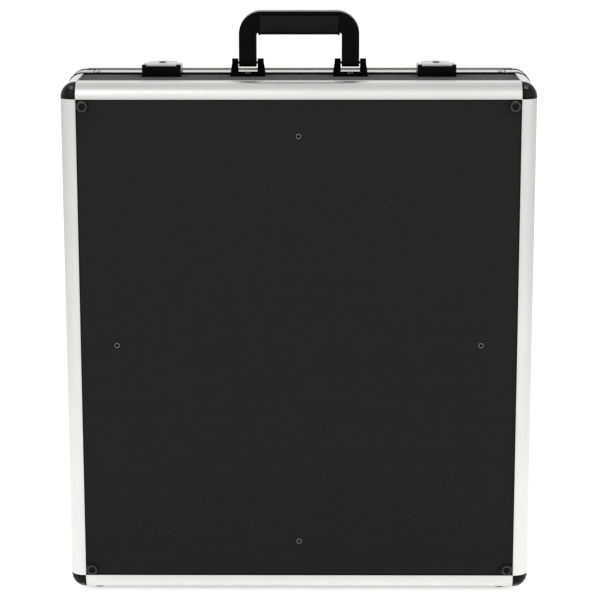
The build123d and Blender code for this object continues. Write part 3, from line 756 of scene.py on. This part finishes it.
panel_shade_beads("base", "base_face_panel", "base_top_wall", "base_right_wall")
panel_shade_beads("lid", "lid_face_panel", "lid_end_walls", "lid_side_walls")

# %% [markdown]
# ## Ball corners
# A black plastic cap closes each outer corner. It starts as a cube, and its three outer edges are
# beveled so widely that they meet in a piece of a ball. A second, narrow bevel softens the borders.

# %% Mould the ball corners
cap = face_band * MM
for shell, (face, rim, inward) in SHELLS.items():
    mesh = bmesh.new()
    bmesh.ops.create_cube(mesh, size=cap)
    place = (half_width - cap / 2, face + inward * cap / 2, top - cap / 2)
    bmesh.ops.translate(mesh, verts=mesh.verts, vec=place)
    tip = Vector((half_width, face, top))
    outer = [e for e in mesh.edges if any((v.co - tip).length < 1e-6 for v in e.verts)]
    bevel(mesh, outer, corner_radius, 12)
    bevel(mesh, sharp_edges(mesh), 0.45, 3)
    mirror_copies(mesh)
    node = shell + "_ball_corners"
    finish_piece(node + "_cap", mesh, corner_black, shell, [node])

# %% [markdown]
# ## Reading where small parts sit
# Screws, rivets and feet come in groups, and one node holds a whole group. Its mesh falls apart into
# islands, one for each part. The box round an island gives its place, and the side of the box that
# differs from the other two gives the way it points.

# %% Find the islands of a node


def islands(node):
    """Boxes (low, high) of the separate parts in a node."""
    mesh = mesh_of(node)
    left = set(mesh.verts)
    boxes = []
    while left:
        queue = [left.pop()]
        found = []
        while queue:
            vert = queue.pop()
            found.append(vert.co.copy())
            near = {e.other_vert(vert) for e in vert.link_edges} & left
            left -= near
            queue += near
        low = Vector([min(p[i] for p in found) for i in range(3)])
        high = Vector([max(p[i] for p in found) for i in range(3)])
        boxes.append((low, high))
    mesh.free()
    return sorted(boxes, key=lambda box: tuple(round(c, 5) for c in box[0]))


def seat_of(box):
    """The outermost point on a small part's axis, the direction out of the case, and its length."""
    low, high = box
    sizes = high - low
    order = sorted(range(3), key=lambda i: sizes[i])
    near_low = sizes[order[1]] - sizes[order[0]] < sizes[order[2]] - sizes[order[1]]
    axis = order[2] if near_low else order[0]
    centre = (low + high) / 2
    direction = Vector((0, 0, 0))
    direction[axis] = 1 if centre[axis] > case_middle[axis] else -1
    return centre + direction * sizes[axis] / 2, direction, sizes[axis] / MM


def scatter(name, node, make_part, finish, replaces=True):
    """Puts one detailed part in the place of each island of a node, or adds it there."""
    mesh = bmesh.new()
    for box in islands(node):
        place, direction, length = seat_of(box)
        add_part(mesh, make_part(length), pointing(place, direction))
    finish_piece(name, mesh, finish, body_of(node), [node] if replaces else [])


# %% [markdown]
# ## Rubber feet
# Each foot is turned: a flange on the panel, a body and a rim round a deep well, at the bottom of
# which sits its screw. The base's standing feet carry most of the weight and are worn flat; the
# others keep a round rim.

# %% Turn the feet
FOOT, WELL, SCREW_HOLE, WELL_FLOOR = 6.5, 2.8, 1.8, 3.5


def turned_foot(length, rim):
    """A rubber foot whose tip is at height 0, from the points of its outer side and rim."""
    floor = WELL_FLOOR - length
    return turned([
        (SCREW_HOLE, floor), (SCREW_HOLE, -length), (FOOT, -length), *rim, (WELL, floor),
        (SCREW_HOLE, floor),
    ])


def foot(length):
    """A foot with a low flange and a round rim."""
    return turned_foot(length, [
        (FOOT, 1.1 - length), (6.35, 1.5 - length), (6.25, 1.7 - length), (6.05, -1.2), (5.85, -0.5),
        (5.4, -0.1), (4.9, 0), (4.2, -0.15), (3.4, -0.9), (WELL, -2.0),
    ])


def standing_foot(length):
    """A foot with straighter sides and a crisper rim."""
    return turned_foot(
        length, [(FOOT, -0.7), (6.35, -0.2), (5.9, 0), (4.2, 0), (3.4, -0.6), (WELL, -1.6)]
    )


scatter("face_feet_turned", "face_feet", foot, rubber)
scatter("base_standing_feet_turned", "base_standing_feet", standing_foot, worn_rubber)
scatter("lid_standing_feet_turned", "lid_standing_feet", foot, worn_rubber)

# %% [markdown]
# ## Screws and rivets
# The screws of the feet and brackets have a cross recess, those of the blocks a hexagon. A head is
# turned with an open top, the recess is laid in the opening, the ring between the two is filled, and
# the recess is pushed down. Rivets are simple domes.

# %% Make a screw with a recess
SHANK, RECESS_DEPTH = 1.75, 1.5
# Of a block screw: its head's height, its hexagon's radius and the height of the black plug of painted
# shade at the hexagon's bottom
BLOCK_HEAD, BLOCK_RECESS, SHADE_PLUG = 1.9, 1.95, 1.4


def cross(reach, half):
    """The outline of a cross recess, from the reach and half width of its arms."""
    outline = []
    for quarter in range(4):
        cos, sin = math.cos(quarter * math.pi / 2), math.sin(quarter * math.pi / 2)
        for x, y in ((reach, -half), (reach, half), (half, half)):
            outline.append((cos * x - sin * y, sin * x + cos * y))
    return outline


def hexagon(radius):
    """The outline of a hexagon recess."""
    angles = [step * math.pi / 3 for step in range(6)]
    return [(radius * math.cos(angle), radius * math.sin(angle)) for angle in angles]


def screw(length, recess, head_radius, head_height, crown):
    """A screw with its top at height 0; crown is how far the head's rim lies below its top."""
    mesh = turned([
        (0, -length), (SHANK, -length), (SHANK, -head_height), (head_radius, -head_height),
        (head_radius, -crown), (0.9 * head_radius, -0.35 * crown), (0.66 * head_radius, 0),
    ], steps=24)
    rim = closed_line(mesh, [mesh.verts.new((x * MM, y * MM, 0)) for x, y in recess])
    opening = [e for e in mesh.edges if e.is_boundary and e not in rim]
    bmesh.ops.triangle_fill(mesh, use_beauty=True, use_dissolve=False, edges=opening + rim)
    grown = bmesh.ops.extrude_edge_only(mesh, edges=rim)["geom"]
    shift(mesh, grown, (0, 0, -RECESS_DEPTH * MM))
    close_ends(mesh)
    return mesh


def block_screw(length):
    """A button-head screw of a retaining block."""
    return screw(length, hexagon(BLOCK_RECESS), head_radius=3.4, head_height=BLOCK_HEAD, crown=1.1)


def block_screw_recess_shade(_length):
    """A black plug of painted shade in the bottom of a block screw's hexagon; the same for any length."""
    mesh = extruded(hexagon(BLOCK_RECESS - 0.01), SHADE_PLUG)
    bmesh.ops.translate(mesh, verts=mesh.verts, vec=(0, 0, -BLOCK_HEAD * MM))
    return mesh


def foot_screw(length):
    """The small screw in the well of a foot."""
    return screw(length, cross(1.55, 0.6), head_radius=2.5, head_height=1.8, crown=0.6)


def bracket_screw(length):
    """A countersunk screw in a handle bracket."""
    return screw(length, cross(2.0, 0.8), head_radius=3.2, head_height=1.9, crown=0.15)


scatter("block_screws_hexagon", "block_screws", block_screw, dark_steel)
# Painted shade: a black plug fills the bottom of each hexagon.
scatter("block_screw_recess_shades", "block_screws", block_screw_recess_shade, bracket_black, replaces=False)
for shell_part in ("face", "base", "lid"):
    node = shell_part + "_foot_screws"
    scatter(node + "_crossed", node, foot_screw, black_steel)
scatter("bracket_screws_crossed", "bracket_screws", bracket_screw, black_steel)

# %% Set the rivets


def rivet(length):
    """A domed rivet with its top at height 0."""
    dome = [(2.8, -0.9), (2.75, -0.65), (2.3, -0.3), (1.5, -0.08), (0, 0)]
    return turned([(0, -length), (1.6, -length), (1.6, -0.9), *dome], steps=24)


for shell in SHELLS:
    scatter(shell + "_rivets_domed", shell + "_rivets", rivet, rivet_steel)

# %% [markdown]
# A rivet holds each ball corner on the long profile beside it. It sits in a low collar halfway
# between face and wall, close to where the profile begins.

# %% Rivet the ball corners
COLLARED_RIVET = [
    (0, -1.5), (2.7, -1.5), (2.7, 0.15), (2.45, 0.35), (2.05, 0.3), (1.85, 0.0), (1.65, 0.25),
    (1.0, 0.55), (0, 0.65),
]
SIDEWAYS = 0.26

for shell, (face, rim, inward) in SHELLS.items():
    direction = Vector((SIDEWAYS, -inward, 1)).normalized()
    ball = Vector((half_width, face, top)) - corner_radius * MM * Vector((1, -inward, 1))
    part = turned(COLLARED_RIVET, steps=24)
    mesh = bmesh.new()
    add_part(mesh, part, pointing(ball + direction * corner_radius * MM, direction))
    mirror_copies(mesh)
    finish_piece(shell + "_corner_rivets", mesh, dark_steel, shell)

# %% [markdown]
# ## The handle
# The handle is one glossy moulding: two posts, wide rounded shoulders and a flat strip on top. Its
# outline is drawn from the front and extruded through its thickness, the shoulders are beveled, and
# then every long edge is rounded. The softer grip fills the bar below the strip.

# %% Mould the handle's frame
POST_WIDTH, BAR_DEPTH = 19.5, 24.0
SHOULDER, INNER_CORNER, LONG_EDGE = 25.0, 3.0, 2.6
handle_low, handle_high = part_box("handle_frame")
grip_low, grip_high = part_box("handle_grip")
handle_half, handle_top = handle_high.x / MM, handle_high.z / MM
handle_thick = (handle_high.y - handle_low.y) / MM
post_low, post_inner = handle_low.z / MM, handle_half - POST_WIDTH
under_bar = handle_top - BAR_DEPTH
grip_half, strip_low = grip_high.x / MM, grip_high.z / MM


def handle_frame_mesh():
    """The frame, drawn in X and Z and extruded through the depth."""
    right_side = [
        (handle_half, handle_top), (handle_half, post_low), (post_inner, post_low), (post_inner, under_bar),
        (grip_half, under_bar), (grip_half, strip_low),
    ]
    left_side = [(-x, z) for x, z in reversed(right_side)]
    mesh = extruded(right_side + left_side, handle_thick)
    for side in (-1, 1):
        bevel(mesh, long_edges(mesh, side * handle_half, handle_top), SHOULDER, 14)
        bevel(mesh, long_edges(mesh, side * post_inner, under_bar), INNER_CORNER, 5)
    level = [e for e in sharp_edges(mesh, 40.0) if abs(e.verts[0].co.z - e.verts[1].co.z) < 1e-6]
    bevel(mesh, level, LONG_EDGE, 5)
    upright_turn = Matrix.Rotation(math.pi / 2, 4, "X")
    place = Matrix.Translation((0, handle_high.y, 0))
    bmesh.ops.transform(mesh, verts=mesh.verts, matrix=place @ upright_turn)
    return mesh


finish_piece("handle_frame_moulded", handle_frame_mesh(), gloss_black, "handle", ["handle_frame"])

# %% Mould the grip
# The gaps at its ends and under the strip, how far it hangs below the bar, and the gap at its sides
GRIP_PLAY, GRIP_SEAM, GRIP_DROP, SIDE_GAP = 0.15, 0.6, 2.2, 0.1
ACROSS = Matrix(((0, 0, 1), (0, 1, 0), (1, 0, 0))).to_4x4()
grip_under, grip_over = under_bar - GRIP_DROP, strip_low - GRIP_SEAM


def bar_across(span, low, high, near, far, rounds, rest):
    """A bar across the handle; rounds and rest give radius and steps for its long and other edges."""
    start, end = span
    mesh = extruded([(low, near), (high, near), (high, far), (low, far)], end - start)
    for z, (radius, steps) in zip((low, high), rounds):
        for y in (near, far):
            bevel(mesh, long_edges(mesh, z, y), radius, steps)
    bevel(mesh, sharp_edges(mesh, 70.0), *rest)
    place = Matrix.Translation((start * MM, grip_low.y, 0))
    bmesh.ops.transform(mesh, verts=mesh.verts, matrix=place @ ACROSS)
    return mesh


grip_reach = grip_half - GRIP_PLAY
grip = bar_across(
    (-grip_reach, grip_reach), grip_under, grip_over, SIDE_GAP, handle_thick - 2 * SIDE_GAP,
    rounds=[(5.5, 7), (2.2, 5)], rest=(1.2, 3),
)
finish_piece("handle_grip_moulded", grip, grip_black, "handle", ["handle_grip"])

# %% [markdown]
# At each end the grip is held by a collar, a little wider than the grip itself, which shows as a small
# lip under the shoulder.

# %% Add the collars at the ends of the grip
COLLAR, COLLAR_DROP, COLLAR_PROUD = 2.0, 0.9, 0.3
collars = bmesh.new()
for start in (-grip_half, grip_half - COLLAR):
    add_part(collars, bar_across(
        (start, start + COLLAR), grip_under - COLLAR_DROP, grip_over + COLLAR_PROUD,
        -COLLAR_PROUD, handle_thick + COLLAR_PROUD, rounds=[(5.8, 7)], rest=(0.5, 2),
    ))
finish_piece("handle_grip_collars", collars, gloss_black, "handle")

# %% [markdown]
# ## Softened copies
# Brackets, latches, hinges and keepers already have the right shape in the frame, but every edge on
# them is perfectly sharp, and real edges never are. A copy of such a mesh is merged, its flat areas
# are joined into single faces, and its sharp edges are rounded.

# %% Make softened copies
FLAT_TURN = 1.0


def softened(node, size, segments=2, least=35.0):
    """A copy of a node with its sharp edges rounded by a size in millimetres."""
    mesh = mesh_of(node)
    bmesh.ops.dissolve_limit(
        mesh, angle_limit=math.radians(FLAT_TURN), verts=mesh.verts, edges=mesh.edges,
        use_dissolve_boundaries=False,
    )
    bevel(mesh, sharp_edges(mesh, least), size, segments)
    finish_piece(node + "_soft", mesh, finish_of_node(node), body_of(node), [node])


for side in ("left", "right"):
    softened("handle_bracket_" + side, 0.5, segments=3)
    softened(side + "_latch_housing", 0.45, segments=3)
    softened(side + "_lever", 0.4, segments=3)
    softened(side + "_claw", 0.5, segments=3)
    softened(side + "_lock_barrel", 0.2)
softened("latch_keepers", 0.2)
softened("base_hinge_leaves", 0.25)
softened("lid_hinge_leaves", 0.25)

# %% [markdown]
# ## Retaining blocks and foam
# Inside, four padded blocks hold the mixer in the middle. They are wood under a felt cover, so their
# edges are round. The foam on the floor and the walls is plain sheet. The lid's foam is cut into
# waves, so that it presses softly on the controls.

# %% Cover the blocks
softened("retaining_blocks", 3.0, segments=4, least=60.0)

# %% Cut the plain foam


def sheet_foam(node, edge):
    """Foam sheets with rounded edges in the place of each part of a node."""
    mesh = bmesh.new()
    for low, high in islands(node):
        sheet = bmesh.new()
        bmesh.ops.create_cube(sheet, size=1.0)
        bmesh.ops.scale(sheet, verts=sheet.verts, vec=high - low)
        bmesh.ops.translate(sheet, verts=sheet.verts, vec=(low + high) / 2)
        bevel(sheet, sheet.edges[:], edge, 3)
        add_part(mesh, sheet)
    piece = finish_piece(node + "_cut", mesh, foam, body_of(node), [node])


sheet_foam("base_floor_foam", 2.0)
sheet_foam("base_wall_foam", 1.5)

# %% Cut the lid's waved foam
WAVE, WAVE_DEPTH, POINTS_PER_WAVE = 30.0, 4.5, 8


def waved_foam(node):
    """Foam with rows of soft humps on the side that looks into the case."""
    low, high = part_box(node)
    size = high - low
    columns = round(size.x / (WAVE * MM)) * POINTS_PER_WAVE
    rows = round(size.z / (WAVE * MM)) * POINTS_PER_WAVE
    mesh = bmesh.new()
    bmesh.ops.create_grid(mesh, x_segments=columns, y_segments=rows, size=0.5)
    bmesh.ops.scale(mesh, verts=mesh.verts, vec=(size.x, size.z, 1))
    bmesh.ops.rotate(mesh, verts=mesh.verts, cent=(0, 0, 0), matrix=Matrix.Rotation(math.pi / 2, 3, "X"))
    middle = (low + high) / 2
    bmesh.ops.translate(mesh, verts=mesh.verts, vec=(middle.x, low.y, middle.z))
    back = bmesh.ops.extrude_face_region(mesh, geom=mesh.faces[:])["geom"]
    moved = {g for g in back if isinstance(g, bmesh.types.BMVert)}
    front = [v for v in mesh.verts if v not in moved]
    bmesh.ops.translate(mesh, verts=list(moved), vec=(0, size.y, 0))
    for vert in front:
        across = math.cos(2 * math.pi * (vert.co.x - low.x) / (WAVE * MM))
        along = math.cos(2 * math.pi * (vert.co.z - low.z) / (WAVE * MM))
        vert.co.y += WAVE_DEPTH * MM * (0.5 - 0.25 * (across + along))
    piece = finish_piece(node + "_waved", mesh, foam, "lid", [node], sharp=70.0)


waved_foam("lid_foam")

# %% [markdown]
# ## Floor, world and lamps
# The photograph has a pure white background and even, soft light from all sides. The floor is pale
# and adds a little white of its own towards the camera, so that it ends in white and still keeps the
# shadow. Near the case its mirror image is whitest, as on a sheet of paper that ends behind the
# camera. The world is white where the camera or a reflection looks, and milder where it lights.

# %% Lay the floor
FLOOR_REACH = 20.0
CAMERA_LIFT = 0.5
floor_finish = bpy.data.materials.new("pale_floor")
floor_finish.use_nodes = True
floor_finish.node_tree.nodes.clear()
seen = add_node(floor_finish, "ShaderNodeLightPath").outputs
mirrored = compute(floor_finish, "MAXIMUM", seen["Is Glossy Ray"], seen["Is Transmission Ray"])
spot = add_node(floor_finish, "ShaderNodeTexCoord").outputs["Object"]
away = add_node(floor_finish, "ShaderNodeVectorMath", {"operation": "LENGTH"}, _0=spot).outputs["Value"]
fading = spread(floor_finish, away, 0.48, 0.08, start=0.4, end=2.2)
milder = compute(floor_finish, "MULTIPLY", mirrored, fading)
lift = compute(floor_finish, "MULTIPLY_ADD", seen["Is Camera Ray"], CAMERA_LIFT, milder)
glow = add_node(floor_finish, "ShaderNodeEmission", Color=(1, 1, 1, 1), Strength=lift)
paint = add_node(floor_finish, "ShaderNodeBsdfDiffuse", Color=(0.86, 0.86, 0.86, 1))
both = add_node(floor_finish, "ShaderNodeAddShader", _0=glow.outputs[0], _1=paint.outputs[0])
add_node(floor_finish, "ShaderNodeOutputMaterial", Surface=both.outputs[0])
floor_mesh = bmesh.new()
bmesh.ops.create_grid(floor_mesh, x_segments=1, y_segments=1, size=FLOOR_REACH)
floor_data = bpy.data.meshes.new("floor")
floor_mesh.to_mesh(floor_data)
floor_mesh.free()
floor_data.materials.append(floor_finish)
floor = bpy.data.objects.new("floor", floor_data)
bpy.context.scene.collection.objects.link(floor)
print("floor laid")

# %% Make the world
CEILING, ROOM = 0.7, 0.7
world = bpy.data.worlds.new("studio")
bpy.context.scene.world = world
world.use_nodes = True
seen = add_node(world, "ShaderNodeLightPath").outputs
direct = compute(world, "MAXIMUM", seen["Is Camera Ray"], seen["Is Glossy Ray"])
clear = compute(world, "MAXIMUM", direct, seen["Is Transmission Ray"])
direction = add_node(world, "ShaderNodeTexCoord").outputs["Generated"]
height = add_node(world, "ShaderNodeSeparateXYZ", Vector=direction).outputs["Z"]
ceiling = spread(world, height, 1.0, CEILING, start=0.4, end=0.95)
mirrored_level = compute(world, "MAXIMUM", ceiling, seen["Is Camera Ray"])
level = spread(world, clear, ROOM, mirrored_level, start=0.0, end=1.0)
backdrop = world.node_tree.nodes["Background"]
backdrop.inputs["Color"].default_value = (1, 1, 1, 1)
world.node_tree.links.new(level, backdrop.inputs["Strength"])
print("world:", world.name)

# %% Hang the lamps
LAMP_SIZE = 2.0


def softbox(name, place, aim, power):
    """A square lamp that looks at a point."""
    data = bpy.data.lights.new(name, "AREA")
    data.shape = "SQUARE"
    data.size = LAMP_SIZE
    data.energy = power
    lamp = bpy.data.objects.new(name, data)
    lamp.matrix_world = pointing(Vector(place), Vector(place) - Vector(aim))
    bpy.context.scene.collection.objects.link(lamp)
    return lamp


softbox("key", (-1.6, -2.2, 2.4), (0, 0, 0.3), 22.0)
softbox("fill", (1.9, -1.8, 1.8), (0, 0, 0.3), 14.0)
rear = softbox("rear", (0.2, 2.2, 2.4), (0, 0, 0.4), 14.0)
rear.visible_glossy = False
print("lamps: 3, the rear one not mirrored in the metal")
